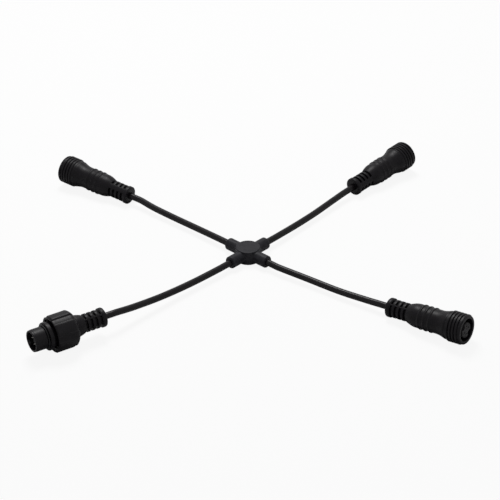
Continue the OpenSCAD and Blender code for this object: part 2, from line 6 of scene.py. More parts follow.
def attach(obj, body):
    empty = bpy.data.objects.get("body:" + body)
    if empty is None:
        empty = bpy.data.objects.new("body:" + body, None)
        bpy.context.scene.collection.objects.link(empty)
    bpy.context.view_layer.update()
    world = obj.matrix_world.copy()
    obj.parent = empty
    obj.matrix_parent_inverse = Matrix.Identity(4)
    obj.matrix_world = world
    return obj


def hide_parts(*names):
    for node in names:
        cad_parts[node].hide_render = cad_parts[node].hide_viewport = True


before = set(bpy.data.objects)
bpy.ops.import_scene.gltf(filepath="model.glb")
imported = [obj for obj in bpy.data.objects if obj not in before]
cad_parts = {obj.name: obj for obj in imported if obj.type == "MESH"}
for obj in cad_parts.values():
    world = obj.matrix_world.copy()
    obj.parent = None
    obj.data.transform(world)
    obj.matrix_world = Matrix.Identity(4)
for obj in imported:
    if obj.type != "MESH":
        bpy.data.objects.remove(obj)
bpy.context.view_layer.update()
scene = bpy.context.scene
scene.view_settings.view_transform = "Standard"
mm = 0.001  # pieces are modelled in millimetres and brought to metres when they are placed
print("stage: packed model loaded,", len(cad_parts), "nodes")

viewpoint = {
    "eye": (-0.5, -996.69, 615.82), "aim": (1.22, 1.48, 5.45),
    "lens": 139.08, "sensor": 36, "near": 0.05, "far": 20,
}


def turnTo(item, start, goal):  # makes a camera or lamp at start look at goal
    item.rotation_euler = (Vector(goal) - Vector(start)).to_track_quat("-Z", "Y").to_euler()


bpy.ops.object.camera_add(location=Vector(viewpoint["eye"]) * mm)
camera = bpy.context.object
camera.name = "viewCamera"
turnTo(camera, viewpoint["eye"], viewpoint["aim"])
camera.data.sensor_width = viewpoint["sensor"]
camera.data.lens = viewpoint["lens"]
camera.data.clip_start = viewpoint["near"]
camera.data.clip_end = viewpoint["far"]
scene.camera = camera
print("stage: camera")

# Rear end of each connector on the table, the way it points, its upward tilt, its turn
# about its own axis, and where a socket's thread starts round that axis.
seats = {
    "left": {"at": (-74.7, 67.3, 5.668), "turn": 146.3, "tilt": 4.588, "roll": 140, "thread": 306},
    "right": {"at": (67.2, 78.0, 5.668), "turn": 45.4, "tilt": 4.588, "roll": 251, "thread": 49},
    "front": {"at": (81.7, -62.1, 5.668), "turn": -36.2, "tilt": 4.588, "roll": 38, "thread": 62},
    "plug": {"at": (-82.2, -80.0, 10.9), "turn": -147.1, "tilt": 0.0, "roll": 323},
}


def turned(degrees, axis):
    return Matrix.Rotation(math.radians(degrees), 4, axis)


def seatMatrix(seat):
    return (Matrix.Translation(seat["at"]) @ turned(seat["turn"], "Z")
            @ turned(90 - seat["tilt"], "Y") @ turned(seat["roll"], "Z"))


def dropAll():  # object mode, nothing selected
    if bpy.context.mode != "OBJECT":
        bpy.ops.object.mode_set(mode="OBJECT")
    bpy.ops.object.select_all(action="DESELECT")


def take(piece):
    dropAll()
    piece.select_set(True)
    bpy.context.view_layer.objects.active = piece


def editAll(piece):  # edit mode, with every vertex selected
    take(piece)
    bpy.ops.object.mode_set(mode="EDIT")
    bpy.ops.mesh.select_mode(type="VERT")
    bpy.ops.mesh.select_all(action="SELECT")


def editFaces(piece, wanted):  # edit mode, with the faces selected whose middle is wanted
    take(piece)
    bpy.ops.object.mode_set(mode="EDIT")
    bpy.ops.mesh.select_mode(type="FACE")
    bpy.ops.mesh.select_all(action="DESELECT")
    bpy.ops.object.mode_set(mode="OBJECT")
    for face in piece.data.polygons:
        face.select = wanted(face.center)
    bpy.ops.object.mode_set(mode="EDIT")


def weld(piece):
    editAll(piece)
    bpy.ops.mesh.remove_doubles(threshold=0.0005)
    bpy.ops.mesh.normals_make_consistent(inside=False)
    bpy.ops.object.mode_set(mode="OBJECT")
    return piece


def join(pieces):  # into the first one
    take(pieces[0])
    for other in pieces[1:]:
        other.select_set(True)
    bpy.ops.object.join()
    return pieces[0]


def finishWith(piece, kind, **settings):  # adds a modifier and applies it
    take(piece)
    modifier = piece.modifiers.new(kind.lower(), kind)
    for key, value in settings.items():
        setattr(modifier, key, value)
    bpy.ops.object.modifier_apply(modifier=modifier.name)


def bevel(piece, width, sharp, segments=3):  # edges that turn by more than the sharp angle
    finishWith(piece, "BEVEL", width=width, segments=segments, limit_method="ANGLE",
               angle_limit=math.radians(sharp), use_clamp_overlap=True)


def carve(piece, cutter):
    finishWith(piece, "BOOLEAN", operation="DIFFERENCE", object=cutter, solver="EXACT")
    bpy.data.objects.remove(cutter)


def smooth(piece, degrees):  # edges that turn by less are shaded over
    take(piece)
    bpy.ops.object.shade_smooth_by_angle(angle=math.radians(degrees))
    return piece


def twin(piece, name):  # a copy with a mesh of its own
    take(piece)
    bpy.ops.object.duplicate()
    copy = bpy.context.object
    copy.name = name
    return copy


def fixPlace(piece):  # moves an object's place and turn into its mesh
    take(piece)
    bpy.ops.object.transform_apply(location=True, rotation=True, scale=True)


def rollBy(piece, degrees):  # about the piece's own axis
    piece.rotation_euler.z = math.radians(degrees)
    fixPlace(piece)


def settle(piece, place):  # from millimetres in the piece's own frame to metres on the table
    piece.matrix_world = Matrix.Scale(mm, 4) @ place
    fixPlace(piece)


def dress(piece, finish):
    piece.data.materials.clear()
    piece.data.materials.append(finish)


def outline(shape, part="outline"):  # a piece's corners, given by the names of its sizes
    return [(shape.get(r, r), shape.get(z, z), ease) for r, z, ease in shape[part]]


def eased(corners, bits=4, most=0.48):  # (radius, height, rounding) corners to a smooth line
    line = []
    for i, (r, z, ease) in enumerate(corners):
        here = Vector((r, z))
        if not ease or i in (0, len(corners) - 1):
            line.append(here)
            continue
        back = Vector(corners[i - 1][:2]) - here
        ahead = Vector(corners[i + 1][:2]) - here
        half = back.angle(ahead) / 2
        reach = min(ease / math.tan(half), most * back.length, most * ahead.length)
        middle = (back.normalized() + ahead.normalized()).normalized()
        centre = here + middle * (reach / math.cos(half))
        start = here + back.normalized() * reach - centre
        stop = here + ahead.normalized() * reach - centre
        for k in range(bits + 1):
            line.append(centre + start.lerp(stop, k / bits).normalized() * start.length)
    return line


def drawLine(name, line):  # vertex by vertex; stays in edit mode, with all of it selected
    dropAll()
    bpy.ops.mesh.primitive_plane_add(size=1)
    piece = bpy.context.object
    piece.name = name
    editAll(piece)
    bpy.ops.mesh.merge(type="CENTER")
    bpy.ops.transform.translate(value=(line[0][0], 0, line[0][1]))
    for a, b in zip(line, line[1:]):
        step = (b[0] - a[0], 0, b[1] - a[1])
        bpy.ops.mesh.extrude_region_move(TRANSFORM_OT_translate={"value": step})
    bpy.ops.mesh.select_all(action="SELECT")
    return piece


def lathe(name, line, steps=96):  # spins a line round Z
    piece = drawLine(name, line)
    bpy.ops.mesh.spin(steps=steps, angle=math.tau, center=(0, 0, 0), axis=(0, 0, 1))
    return weld(piece)


def helix(name, shape, steps=72):
    # the piece's tooth swept up a screw; both ends sink to the sunk radius over the fade angle
    tooth = [(shape[at] + out, shape["threadStart"] + up) for at, out, up in shape["tooth"]]
    turns, fade, sunk = shape["turns"], shape["fade"], shape["sunk"]
    piece = drawLine(name, tooth)
    bpy.ops.mesh.edge_face_add()
    bpy.ops.mesh.delete(type="ONLY_FACE")
    bpy.ops.object.mode_set(mode="OBJECT")
    count = int(steps * turns)
    finishWith(piece, "SCREW", axis="Z", angle=math.tau * turns, screw_offset=shape["pitch"] * turns,
               steps=count, render_steps=count, use_merge_vertices=False)
    for vertex in piece.data.vertices:
        along = (vertex.index // len(tooth)) / count * turns * 360
        share = min(1, along / fade, (turns * 360 - along) / fade)
        r = Vector(vertex.co[:2]).length
        if share < 1:
            keep = share * share * (3 - 2 * share)
            vertex.co.x *= (sunk + (r - sunk) * keep) / r
            vertex.co.y *= (sunk + (r - sunk) * keep) / r
    editAll(piece)
    bpy.ops.mesh.fill_holes(sides=0)
    bpy.ops.mesh.normals_make_consistent(inside=False)
    bpy.ops.object.mode_set(mode="OBJECT")
    return piece


def rod(radius, low, high, x=0.0, y=0.0, sides=40):
    dropAll()
    bpy.ops.mesh.primitive_cylinder_add(vertices=sides, radius=radius, depth=high - low,
                                        location=(x, y, (low + high) / 2))
    piece = bpy.context.object
    fixPlace(piece)
    return piece


def material(name, fixed):  # fixed values by the names of the shader's sockets
    made = bpy.data.materials.new(name)
    made.use_nodes = True
    shader = made.node_tree.nodes["Principled BSDF"]
    for socket, value in fixed.items():
        shader.inputs[socket].default_value = value
    return made, made.node_tree, shader


def grain(tree, scale, detail, rough=0.55, stretch=None, source="Object"):
    where = tree.nodes.new("ShaderNodeTexCoord").outputs[source]
    noise = tree.nodes.new("ShaderNodeTexNoise")
    noise.inputs["Scale"].default_value = scale
    noise.inputs["Detail"].default_value = detail
    noise.inputs["Roughness"].default_value = rough
    if stretch:
        turn = tree.nodes.new("ShaderNodeMapping")
        turn.inputs["Scale"].default_value = stretch
        tree.links.new(where, turn.inputs["Vector"])
        where = turn.outputs["Vector"]
    tree.links.new(where, noise.inputs["Vector"])
    return noise.outputs["Fac"]


def ramp(tree, value, low, high, start=0.35, stop=0.65):
    band = tree.nodes.new("ShaderNodeValToRGB")
    for element, place, colour in zip(band.color_ramp.elements, (start, stop), (low, high)):
        element.position = place
        element.color = colour
    tree.links.new(value, band.inputs["Fac"])
    return band.outputs["Color"]


def spread(tree, value, low, high, start=0.3, stop=0.7):
    scale = tree.nodes.new("ShaderNodeMapRange")
    scale.inputs["From Min"].default_value = start
    scale.inputs["From Max"].default_value = stop
    scale.inputs["To Min"].default_value = low
    scale.inputs["To Max"].default_value = high
    tree.links.new(value, scale.inputs["Value"])
    return scale.outputs["Result"]


def bump(tree, shader, height, strength, depth):
    dent = tree.nodes.new("ShaderNodeBump")
    dent.inputs["Strength"].default_value = strength
    dent.inputs["Distance"].default_value = depth
    tree.links.new(height, dent.inputs["Height"])
    tree.links.new(dent.outputs["Normal"], shader.inputs["Normal"])


# Moulded finishes: two tones of a cloudy colour, pores by count and depth, and convex edges lightened both
# for handling wear and as a painted highlight.
mouldGrain = {"cloud": 420, "sheen": 900, "bump": 0.35, "convex": (0.53, 0.62)}
moulded = {
    "bootVinyl": {
        "dark": (0.0036, 0.0029, 0.004, 1), "light": (0.0061, 0.005, 0.0066, 1), "gloss": 0.122,
        "rough": (0.35, 0.46), "pores": 5200, "depth": 0.00003,
        "edgeWearAndHighlight": (0.022, 0.022, 0.024, 1), "wearAndHighlightShare": 0.6,
    },
    "shellNylon": {
        "dark": (0.0032, 0.0025, 0.0036, 1), "light": (0.0053, 0.0043, 0.0058, 1), "gloss": 0.144,
        "rough": (0.36, 0.47), "pores": 7600, "depth": 0.00002,
        "edgeWearAndHighlight": (0.022, 0.022, 0.024, 1), "wearAndHighlightShare": 0.6,
    },
    "junctionVinyl": {
        "dark": (0.0124, 0.0121, 0.015, 1), "light": (0.0203, 0.0199, 0.0238, 1), "gloss": 0.11,
        "rough": (0.38, 0.5), "pores": 4200, "depth": 0.000035,
        "edgeWearAndHighlight": (0.038, 0.038, 0.041, 1), "wearAndHighlightShare": 0.6,
    },
    "insertRubber": {
        "dark": (0.024, 0.023, 0.024, 1), "light": (0.033, 0.032, 0.033, 1), "gloss": 0.09,
        "rough": (0.5, 0.64), "pores": 6400, "depth": 0.00002,
        "edgeWearAndHighlight": (0.05, 0.048, 0.05, 1), "wearAndHighlightShare": 0.5,
    },
    # the insert rubber painted nearly black: painted shade for the insert deep inside the plug's nose
    "shadedPinHolder": {
        "dark": (0.003, 0.003, 0.0034, 1), "light": (0.005, 0.005, 0.0055, 1), "gloss": 0.0675,
        "rough": (0.55, 0.68), "pores": 6400, "depth": 0.00002,
        "edgeWearAndHighlight": (0.012, 0.012, 0.013, 1), "wearAndHighlightShare": 0.4,
    },
    "sealRubber": {
        "dark": (0.013, 0.013, 0.014, 1), "light": (0.02, 0.02, 0.021, 1), "gloss": 0.099,
        "rough": (0.34, 0.5), "pores": 5200, "depth": 0.00001,
        "edgeWearAndHighlight": (0.03, 0.03, 0.031, 1), "wearAndHighlightShare": 0.3,
    },
}


def wornAndHighlitEdges(tree, shader, colour, edgeWearAndHighlight, wearAndHighlightShare):  # lighter on convex edges: handling wear, and a painted highlight along the rounded edges
    shape = tree.nodes.new("ShaderNodeNewGeometry")
    share = spread(tree, shape.outputs["Pointiness"], 0, wearAndHighlightShare, *mouldGrain["convex"])
    blend = tree.nodes.new("ShaderNodeMix")
    blend.data_type = "RGBA"  # its colours are inputs 6 and 7 and its result is output 2
    # the edge colour is partly wear and partly a painted highlight on convex edges
    blend.inputs[7].default_value = edgeWearAndHighlight
    tree.links.new(share, blend.inputs[0])
    tree.links.new(colour, blend.inputs[6])
    tree.links.new(blend.outputs[2], shader.inputs["Base Color"])


def mouldedBlack(name):
    look = moulded[name]
    made, tree, shader = material(name, {"Specular IOR Level": look["gloss"]})
    colour = ramp(tree, grain(tree, mouldGrain["cloud"], 4), look["dark"], look["light"])
    wornAndHighlitEdges(tree, shader, colour, look["edgeWearAndHighlight"], look["wearAndHighlightShare"])
    sheen = spread(tree, grain(tree, mouldGrain["sheen"], 3), *look["rough"])
    tree.links.new(sheen, shader.inputs["Roughness"])
    bump(tree, shader, grain(tree, look["pores"], 2, 0.6), mouldGrain["bump"], look["depth"])
    return made


jacketLook = {
    "dark": (0.0068, 0.0057, 0.0066, 1), "light": (0.012, 0.0102, 0.0116, 1), "gloss": 0.14,
    "streak": (26, 9, 1), "sheen": 700, "rough": (0.2, 0.32), "bump": 0.25, "depth": 0.00006,
}


def cableJacket(look):
    made, tree, shader = material("cableJacket", {"Specular IOR Level": look["gloss"]})
    streak = grain(tree, 1, 3, 0.5, look["streak"], "UV")  # marks that the die drew along the jacket
    tree.links.new(ramp(tree, streak, look["dark"], look["light"]), shader.inputs["Base Color"])
    sheen = spread(tree, grain(tree, look["sheen"], 3), *look["rough"])
    tree.links.new(sheen, shader.inputs["Roughness"])
    bump(tree, shader, streak, look["bump"], look["depth"])
    return made


# Finishes of what is mostly hidden: two metals and the conductors' cover.
contactLook = {
    "metal": 1, "tone": 1400, "sheen": 2600, "rough": (0.2, 0.36), "pores": 9000,
    "bump": 0.15, "depth": 0.00001,
}
wireLook = {
    "metal": 0, "tone": 700, "sheen": 1500, "rough": (0.35, 0.5), "pores": 4000,
    "bump": 0.2, "depth": 0.00001,
}


def plainSkin(name, look, dark, light):
    made, tree, shader = material(name, {"Metallic": look["metal"]})
    colour = ramp(tree, grain(tree, look["tone"], 3), dark, light)
    tree.links.new(colour, shader.inputs["Base Color"])
    sheen = spread(tree, grain(tree, look["sheen"], 2), *look["rough"])
    tree.links.new(sheen, shader.inputs["Roughness"])
    bump(tree, shader, grain(tree, look["pores"], 2), look["bump"], look["depth"])
    return made


softBlack = mouldedBlack("bootVinyl")
hardBlack = mouldedBlack("shellNylon")
hubBlack = mouldedBlack("junctionVinyl")
insertBlack = mouldedBlack("insertRubber")
shadedPinHolder = mouldedBlack("shadedPinHolder")
sealBlack = mouldedBlack("sealRubber")
jacket = cableJacket(jacketLook)
brass = plainSkin("contactBrass", contactLook, (0.5, 0.36, 0.16, 1), (0.66, 0.5, 0.24, 1))
# the pins' tin is painted very dark: painted shade for the pins deep inside the nose
pinTinShaded = plainSkin("pinTinPaintedShade", contactLook, (0.12, 0.117, 0.112, 1), (0.2, 0.195, 0.186, 1))
wireRed = plainSkin("wireInsulation", wireLook, (0.25, 0.02, 0.015, 1), (0.36, 0.035, 0.025, 1))
print("stage: finishes")

# Cables: the same stops as the solids, from the junction's core through an arm to a boot.
cableRun = {
    "across": 4.0, "coreFace": 4.8, "armEnd": 16.0, "lead": 8.0, "grip": 11.0,
    "height": 4.4, "steps": 7, "roundness": 10, "shade": 40,
    "armTurn": {"left": 137, "right": 47, "front": -43, "plug": -133},
    "route": {
        "left": ((-32, 30, 4), (-46, 42.5, 4), (-59, 54, 4.4)),
        "right": ((30, 33.5, 4), (42, 48, 4), (54, 63, 4.6)),
        "front": ((35, -28.7, 4), (53, -42.2, 4), (68, -52.5, 4.6)),
        "plug": ((-33, -34, 4.5), (-50, -51, 6), (-65.5, -66, 8.5)),
    },
}


def cableLine(which):
    seat = seatMatrix(seats[which])
    rear, way = seat.translation, seat.to_3x3() @ Vector((0, 0, 1))
    turn = math.radians(cableRun["armTurn"][which])
    hub, arm = Vector((0, 0, cableRun["height"])), Vector((math.cos(turn), math.sin(turn), 0))
    core = hub + arm * cableRun["coreFace"]
    stops = [hub + arm * cableRun["armEnd"], hub + arm * (cableRun["armEnd"] + cableRun["lead"])]
    stops += [Vector(p) for p in cableRun["route"][which]]
    stops += [rear - way * cableRun["lead"], rear]
    line = [core, stops[0].lerp(core, 0.5), stops[0], stops[0].lerp(stops[1], 0.5)]
    for a, b, c, d in zip(stops, stops[1:], stops[2:], stops[3:]):  # one curve through the stops
        for k in range(cableRun["steps"]):
            t = k / cableRun["steps"]
            line.append(0.5 * (2 * b + (c - a) * t + (2 * a - 5 * b + 4 * c - d) * t * t
                               + (3 * b - a - 3 * c + d) * t * t * t))
    line += [stops[-2], stops[-2].lerp(rear, 0.5), rear, rear + way * cableRun["grip"]]
    return [p * mm for p in line], stops[0] * mm


def runCable(which):
    line, mouth = cableLine(which)
    dropAll()
    bpy.ops.curve.primitive_nurbs_path_add()
    piece = bpy.context.object
    piece.name = which + "Cable"
    piece.data.splines.clear()
    spline = piece.data.splines.new("POLY")
    spline.points.add(len(line) - 1)
    for point, place in zip(spline.points, line):
        point.co = (*place, 1)
    piece.data.dimensions = "3D"
    piece.data.twist_mode = "Z_UP"
    piece.data.bevel_depth = cableRun["across"] / 2 * mm
    piece.data.bevel_resolution = cableRun["roundness"]
    piece.data.use_fill_caps = True
    take(piece)
    bpy.ops.object.convert(target="MESH")
    piece = bpy.context.object
    smooth(piece, cableRun["shade"])
    dress(piece, jacket)
    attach(piece, "lead")
    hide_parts(which + "_cable")
    length = sum((b - a).length for a, b in zip(line, line[1:]))
    print("stage:", piece.name, round(length / mm, 1), "mm")
    return {"piece": piece, "line": line, "mouth": mouth, "length": length}


cables = {which: runCable(which) for which in seats}

# Junction: a thick coin on four arms, with round webs that sweep from arm to arm.
junction = {
    "coin": 7.45, "height": 8.8, "arm": 3.8, "reach": 16.0, "armSteps": 64, "turn": 2.0,
    "web": 9.0, "webSides": 56, "webSteps": 24, "bore": 2.1, "boreStart": 4.9, "boreSides": 64,
    "voxel": 0.17, "ease": 0.5, "easePasses": 4, "shade": 35,
    "outline": ((0, 0, 0), ("coin", 0, 0.5), ("coin", "height", 0.5), (0, "height", 0)),
    "armOutline": ((0, 0, 0), ("arm", 0, 0), ("arm", "reach", 0.8), (0, "reach", 0)),
}


def sweepWeb():  # a round bar bent through a quarter turn
    away = junction["web"]
    dropAll()
    bpy.ops.mesh.primitive_circle_add(vertices=junction["webSides"], radius=junction["arm"],
                                      fill_type="NGON", rotation=(0, math.pi / 2, math.pi / 2),
                                      location=(0, away, 0))
    web = bpy.context.object
    fixPlace(web)
    editAll(web)
    bpy.ops.mesh.spin(steps=junction["webSteps"], angle=-math.pi / 2, axis=(0, 0, 1),
                      center=(away, away, 0))
    return weld(web)


def makeJunction():
    body = lathe("junctionBody", eased(outline(junction)))
    armLine = eased(outline(junction, "armOutline"))
    boreEnd = junction["boreStart"] + junction["reach"]
    pieces, bores = [body], []
    for i in range(4):
        lay = (Matrix.Translation((0, 0, junction["height"] / 2))
               @ turned(45 + 90 * i + junction["turn"], "Z"))
        arm = lathe("junctionArm", armLine, junction["armSteps"])
        arm.matrix_world = lay @ turned(90, "Y")
        web = sweepWeb()
        web.matrix_world = lay
        bore = rod(junction["bore"], junction["boreStart"], boreEnd, sides=junction["boreSides"])
        bore.matrix_world = lay @ turned(90, "Y")
        pieces += [arm, web]
        bores.append(bore)
    fixPlace(join(pieces))
    finishWith(body, "REMESH", mode="VOXEL", voxel_size=junction["voxel"], adaptivity=0)
    finishWith(body, "SMOOTH", factor=junction["ease"], iterations=junction["easePasses"])
    carve(body, join(bores))
    smooth(body, junction["shade"])
    settle(body, Matrix.Identity(4))
    dress(body, hubBlack)
    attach(body, "lead")
    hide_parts("junction_body")
    return body


junctionBody = makeJunction()
print("stage: junction,", len(junctionBody.data.polygons), "faces")

# Strain relief that every boot starts with: a collar, then ribs between slots. A spine on
# two sides, given in degrees, stays uncut. Faces within the skin's depth are the ribs' own.
relief = {
    "collar": 5.75, "collarLong": 2.5, "rib": 5.4, "cable": 2.1, "grip": 11.0, "wires": 1.65,
    "slotFloor": 3.7, "slotWide": 1.5, "slotFirst": 3.6, "slotPitch": 3.1, "slots": 4,
    "spine": 17.2, "backSpine": 5.4, "skin": 0.1, "edge": 0.18, "sharp": 48, "shade": 38,
    "steps": 80,
    "outline": (("wires", "grip", 0), ("cable", "grip", 0), ("cable", 0, 0.3), ("collar", 0, 0.8),
                ("collar", "collarLong", 0.4), ("rib", "collarLong", 0)),
}


def slotEnds(i):
    middle = relief["slotFirst"] + relief["slotPitch"] * i
    return middle - relief["slotWide"] / 2, middle + relief["slotWide"] / 2


def cutSlots(piece):
    def inSlot(centre):
        turn = abs(math.degrees(math.atan2(centre[1], centre[0])))
        level = any(low < centre[2] < high for low, high in map(slotEnds, range(relief["slots"])))
        outside = Vector(centre[:2]).length > relief["rib"] - relief["skin"]
        return level and outside and relief["spine"] < turn < 180 - relief["backSpine"]

    editFaces(piece, inSlot)
    shrink = relief["slotFloor"] / relief["rib"]
    bpy.ops.mesh.extrude_region()
    bpy.ops.transform.resize(value=(shrink, shrink, 1), center_override=(0, 0, 0))
    bpy.ops.object.mode_set(mode="OBJECT")
    bevel(piece, relief["edge"], relief["sharp"])


def swell(r0, z0, r1, z1, bits=14):
    return [(r0 + (r1 - r0) * math.sin(math.pi / 2 * k / bits), z0 + (z1 - z0) * k / bits, 0)
            for k in range(1, bits + 1)]


def makeBoot(name, wide, swellEnd, rest):  # the relief, a swelling and the corners of the rest
    corners = outline(relief)
    for i in range(relief["slots"]):
        corners += [(relief["rib"], z, 0) for z in slotEnds(i)]
    corners += swell(relief["rib"], corners[-1][1], wide, swellEnd)
    boot = lathe(name, eased([*corners, *rest, corners[0]]), relief["steps"])
    cutSlots(boot)
    return smooth(boot, relief["shade"])


# Socket boot: a swelling, a barrel with three grip rings and a flare up to the thread. A ring's
# corners are a share of its height, a place along the barrel and a rounding.
socketBoot = {
    "barrel": 7.0, "swellEnd": 20.0, "barrelEnd": 33.8, "flare": 8.3, "flareEnd": 40.1, "flareSteps": 12,
    "front": 40.9, "rootGap": 7.45, "rootStart": 39.35, "core": 6.7, "floor": 42.3, "insertBore": 4.45,
    "insertStart": 36.3, "tails": 3.41, "tailStart": 34.3,
    "rings": 3, "ringFirst": 0.9, "ringPitch": 3.5, "ringHigh": 0.42,
    "ring": ((0, -1.15, 0.5), (1, -0.2, 0.35), (1, 0.2, 0.25), (0, 0.7, 0.3)),
    "outline": (("flare", "front", 0.18), ("rootGap", "front", 0), ("rootGap", "rootStart", 0),
                ("core", "rootStart", 0), ("core", "floor", 0.1), ("insertBore", "floor", 0.1),
                ("insertBore", "insertStart", 0), ("tails", "insertStart", 0), ("tails", "tailStart", 0)),
}


def makeSocketBoot():
    shape, corners = socketBoot, []
    for i in range(shape["rings"]):
        z = shape["swellEnd"] + shape["ringPitch"] * (i + shape["ringFirst"])
        corners += [(shape["barrel"] + shape["ringHigh"] * share, z + along, ease)
                    for share, along, ease in shape["ring"]]
    for k in range(shape["flareSteps"] + 1):
        t = k / shape["flareSteps"]
        r = shape["barrel"] + (shape["flare"] - shape["barrel"]) * (1 - math.cos(math.pi / 2 * t))
        corners.append((r, shape["barrelEnd"] + (shape["flareEnd"] - shape["barrelEnd"]) * t, 0))
    return makeBoot("socketBoot", shape["barrel"], shape["swellEnd"], corners + outline(shape))


# Threaded front of a socket: a straight tube whose root sits in the boot. A tooth's corners
# are a radius, what is added to it and a place along the pitch.
socketShell = {
    "foot": 7.4, "footStart": 39.4, "back": 40.9, "root": 8.25, "rootEnd": 50.5,
    "lead": 8.5, "leadStart": 50.75, "front": 51.6, "mouth": 6.75, "shade": 32,
    "threadStart": 41.0, "crest": 9.0, "pitch": 2.0, "turns": 4.55, "fade": 40, "sunk": 7.95,
    "tooth": (("root", -0.25, -0.1), ("root", 0, 0), ("crest", -0.12, 0.25), ("crest", 0, 0.4),
              ("crest", 0, 1.1), ("crest", -0.12, 1.25), ("root", 0, 1.5), ("root", -0.25, 1.6)),
    "outline": (("mouth", "footStart", 0), ("foot", "footStart", 0.1), ("foot", "back", 0),
                ("root", "back", 0.15), ("root", "rootEnd", 0.1), ("lead", "leadStart", 0.15),
                ("lead", "front", 0.45), ("mouth", "front", 0.3), ("mouth", "footStart", 0)),
}


def makeSocketShell():
    shell = lathe("socketShell", eased(outline(socketShell)))
    return smooth(join([shell, helix("socketThread", socketShell)]), socketShell["shade"])


# Insert with four contact holes and a notch on each side for the plug's keys.
socketInsert = {
    "across": 4.4, "back": 36.3, "front": 51.2, "notch": 1.7, "notchAway": 4.3, "notchStart": 42.3,
    "pair": 1.95, "pin": 1.15, "tube": 0.9, "tubeEnd": 50.1, "hole": 0.56,
    "edge": 0.14, "sharp": 50, "shade": 30, "sides": 96, "roll": 99,
}
past = 1.0  # how far a cutter runs beyond the face that it opens


def contactSpots():
    return [(u * socketInsert["pair"], v * socketInsert["pin"]) for u in (-1, 1) for v in (-1, 1)]


def fourRods(radius, low, high, sides=32):  # one at each contact, as one cutter
    return join([rod(radius, low, high, x, y, sides) for x, y in contactSpots()])


def sideRods(radius, low, high, away):  # one on each side, as one cutter
    return join([rod(radius, low, high, y=side * away) for side in (-1, 1)])


def finishInsert(body, shape):
    bevel(body, shape["edge"], shape["sharp"])
    rollBy(body, shape["roll"])
    return smooth(body, shape["shade"])


def makeSocketInsert():
    shape = socketInsert
    body = rod(shape["across"], shape["back"], shape["front"], sides=shape["sides"])
    body.name = "socketInsert"
    notches = sideRods(shape["notch"], shape["notchStart"], shape["front"] + past, shape["notchAway"])
    tubes = fourRods(shape["tube"], shape["back"] - past, shape["tubeEnd"], 40)
    carve(body, join([notches, tubes]))
    carve(body, fourRods(shape["hole"], shape["tubeEnd"] - past / 2, shape["front"] + past / 2))
    return finishInsert(body, shape)


patterns = {
    "Boot": (makeSocketBoot(), "_boot", softBlack, "moulded_black"),
    "Shell": (makeSocketShell(), "_threaded_shell", hardBlack, "hard_black"),
    "Insert": (makeSocketInsert(), "_insert", insertBlack, "insert_grey"),
}
ends = {which: [] for which in seats}
for which in ("left", "right", "front"):
    for kind, (pattern, node, finish, slot) in patterns.items():
        piece = twin(pattern, which + kind)
        own = seats[which]["thread"] - seats[which]["roll"] if kind == "Shell" else 0
        settle(piece, seatMatrix(seats[which]) @ turned(own, "Z"))
        dress(piece, finish)
        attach(piece, "lead")
        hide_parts(which + node)
        ends[which].append(piece)
for pattern, node, finish, slot in patterns.values():
    bpy.data.objects.remove(pattern)
print("stage: three sockets")

# Plug boot: the same strain relief, a short swelling and the shoulder that stops the nut.
plugBoot = {
    "swell": 6.6, "swellEnd": 19.4, "shoulder": 7.6, "shoulderStart": 20.4, "shoulderEnd": 21.4,
    "core": 5.25, "coreEnd": 30.6, "tails": 3.36, "tailStart": 28.6,
    "outline": (("shoulder", "shoulderStart", 0.3), ("shoulder", "shoulderEnd", 0.15),
                ("core", "shoulderEnd", 0), ("core", "coreEnd", 0.2), ("tails", "coreEnd", 0),
                ("tails", "tailStart", 0)),
}


def makePlugBoot():
    return makeBoot("plugBoot", plugBoot["swell"], plugBoot["swellEnd"], outline(plugBoot))


# Plug shell: neck, flange and hollow nose round a straight bore.
plugShell = {
    "neck": 6.95, "bore": 5.3, "back": 21.4, "flange": 8.25, "flangeStart": 34.8, "flangeEnd": 37.3,
    "seat": 6.2, "seatEnd": 38.6, "nose": 6.5, "noseEnd": 44.7, "tip": 6.36, "tipStart": 44.8,
    "front": 46.0, "shade": 32,
    "outline": (("bore", "back", 0), ("neck", "back", 0.15), ("neck", "flangeStart", 0.15),
                ("flange", "flangeStart", 0.4), ("flange", "flangeEnd", 0.4), ("seat", "flangeEnd", 0.1),
                ("seat", "seatEnd", 0.1), ("nose", "seatEnd", 0.2), ("nose", "noseEnd", 0.05),
                ("tip", "tipStart", 0.05), ("tip", "front", 0.35), ("bore", "front", 0.35),
                ("bore", "back", 0)),
}


def makePlugShell():
    return smooth(lathe("plugShell", eased(outline(plugShell))), plugShell["shade"])


# Insert of the plug: a disc that holds the pins and two keys along the nose.
plugInsert = {
    "across": 5.25, "back": 30.6, "face": 36.1, "key": 1.4, "keyAway": 4.3, "keyEnd": 45.6,
    "hole": 0.55, "tailHole": 0.85, "tailEnd": 32.6,
    "edge": 0.14, "sharp": 50, "shade": 30, "sides": 96, "roll": 73,
}


def makePlugInsert():
    shape = plugInsert
    body = rod(shape["across"], shape["back"], shape["keyEnd"], sides=shape["sides"])
    body.name = "plugInsert"
    room = rod(shape["across"] + past / 2, shape["face"], shape["keyEnd"] + past, sides=shape["sides"])
    carve(room, sideRods(shape["key"], shape["face"] - past, shape["keyEnd"] + 2 * past, shape["keyAway"]))
    carve(body, room)
    carve(body, fourRods(shape["hole"], shape["back"] + past, shape["face"] + past))
    carve(body, fourRods(shape["tailHole"], shape["back"] - past, shape["tailEnd"]))
    return finishInsert(body, shape)


